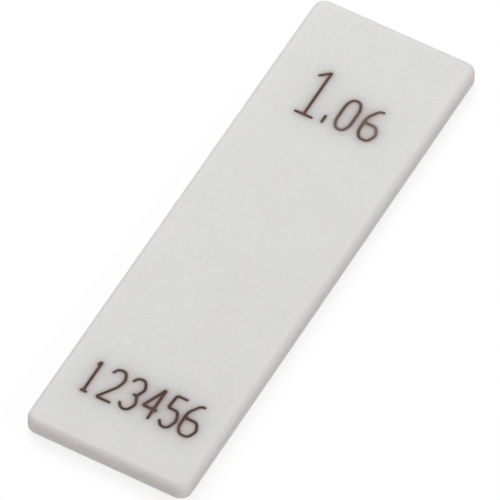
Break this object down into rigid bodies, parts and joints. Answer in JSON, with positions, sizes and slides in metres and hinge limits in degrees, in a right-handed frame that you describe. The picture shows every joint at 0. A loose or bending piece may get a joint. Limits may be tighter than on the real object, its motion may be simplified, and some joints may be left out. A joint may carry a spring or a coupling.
{
  "type": "gauge block",
  "caption": "Thin rectangular ceramic gauge block: a flat bar with two lapped measuring faces, rounded edges and a size mark, used as a length standard.",
  "frame": {"origin": "middle of the lower measuring face, on which the block lies", "axes": "+X across the block, in the reading direction of its marks; +Y along the block, towards the end with the size mark; +Z out of the marked measuring face, in the direction that the block gauges"},
  "size_m": [0.009, 0.03, 0.0011],
  "materials": {
    "white_ceramic": "dense white zirconia, finely lapped on the two large faces and ground on its sides"
  },
  "bodies": {
    "root": {"gauge_block": "white_ceramic"}
  },
  "joints": []
}
